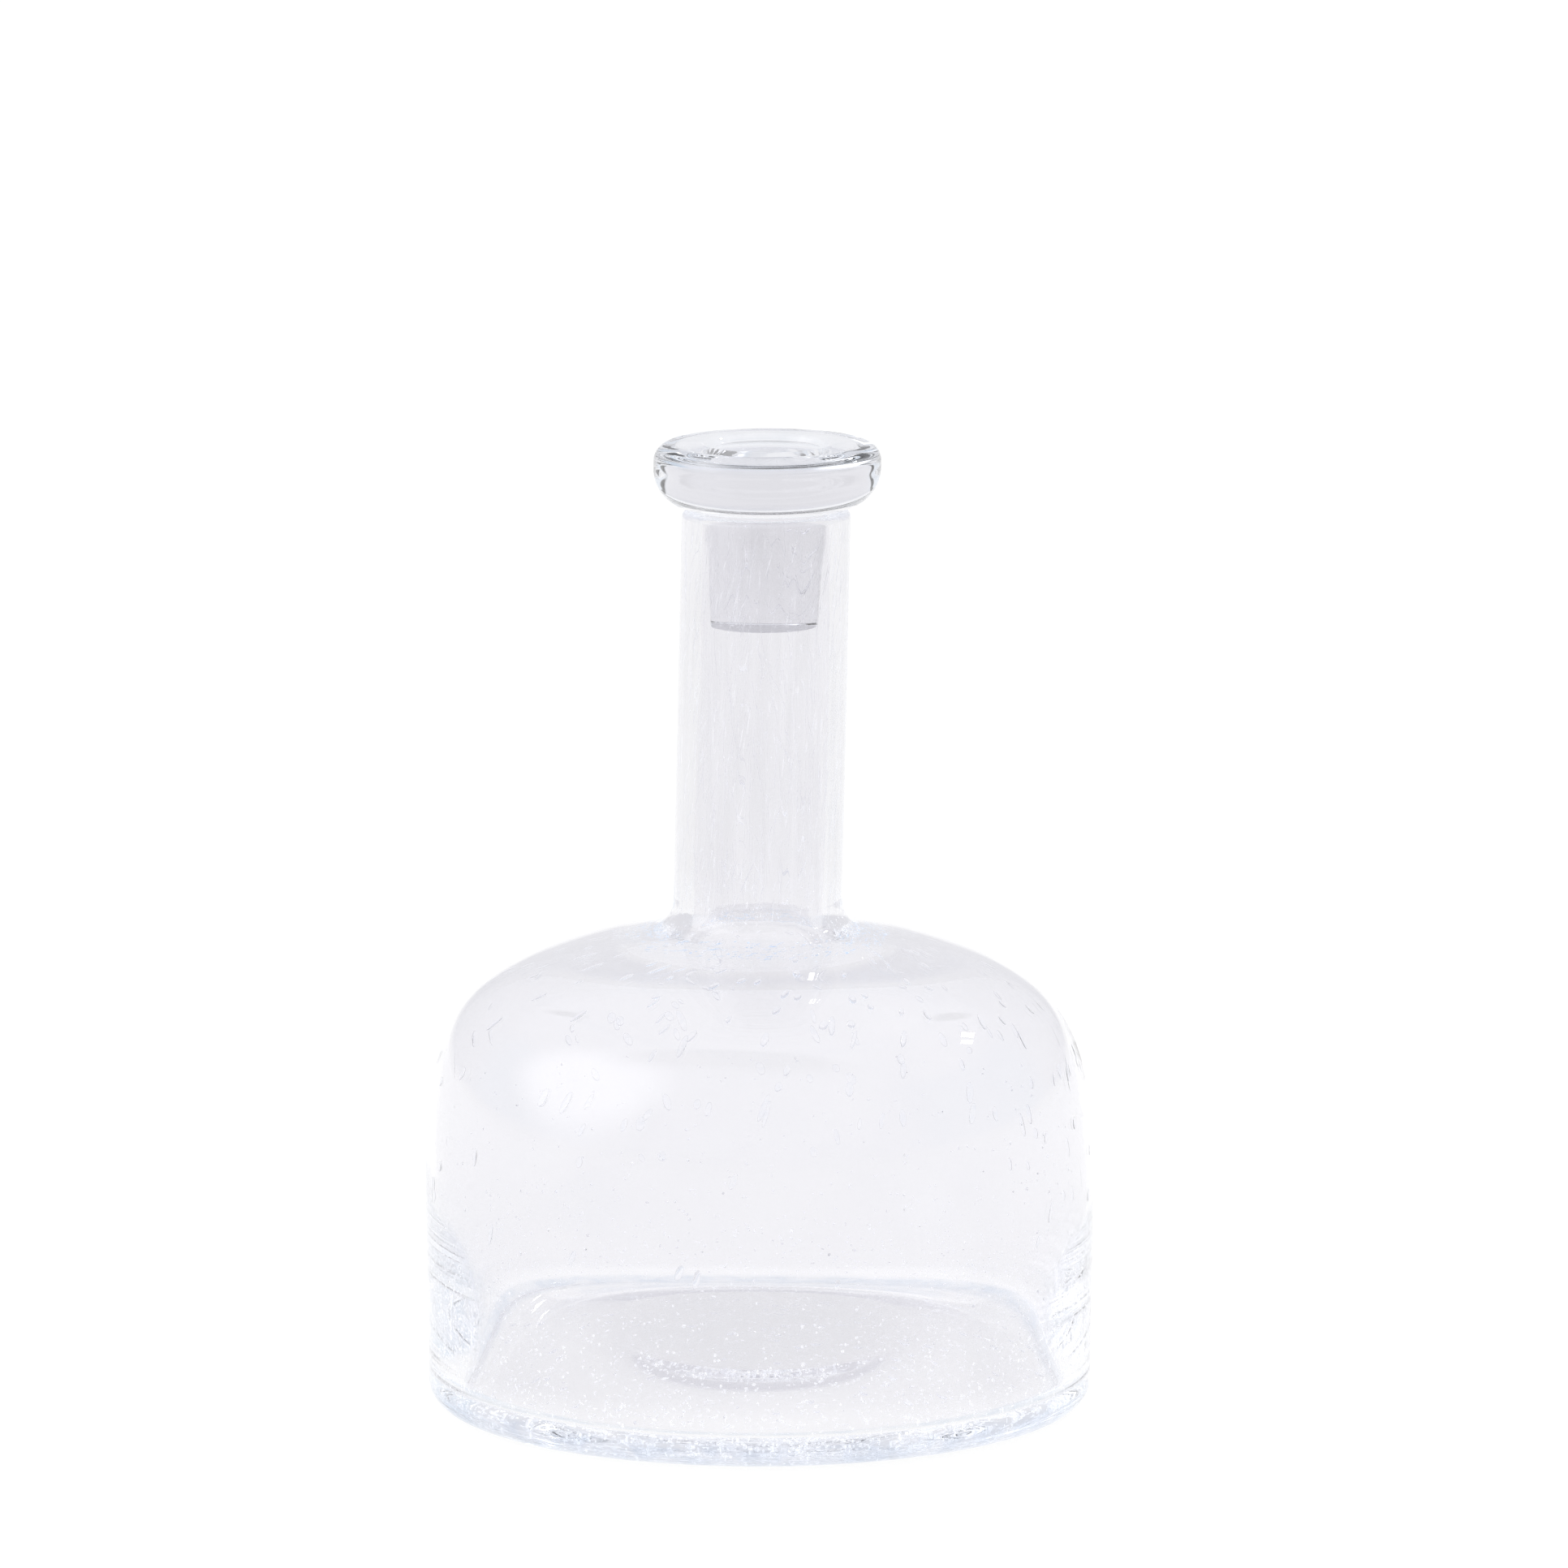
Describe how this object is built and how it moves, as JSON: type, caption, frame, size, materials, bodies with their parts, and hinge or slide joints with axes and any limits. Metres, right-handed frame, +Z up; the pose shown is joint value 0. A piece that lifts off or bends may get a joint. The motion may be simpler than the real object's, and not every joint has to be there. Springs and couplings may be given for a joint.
{
  "type": "glass bud vase",
  "caption": "Clear bubble-glass bottle vase with a domed belly, a tall straight neck and a lift-out dished stopper.",
  "frame": {"origin": "centre of the foot, on the plane the vase stands on", "axes": "+Z up the axis of the neck; the piece is round, so X and Y are equal"},
  "size_m": [0.138, 0.138, 0.2],
  "materials": {
    "bubble_glass": "clear, fire-polished, full of small bubbles",
    "stopper_glass": "clear, solid, polished"
  },
  "bodies": {
    "vase": {"vase_body": "bubble_glass"},
    "stopper": {"stopper": "stopper_glass"}
  },
  "joints": [
    {"name": "stopper_lift", "type": "slide", "parent": "vase", "child": "stopper", "axis": [0, 0, 1], "range_m": [0, 0.03]}
  ]
}
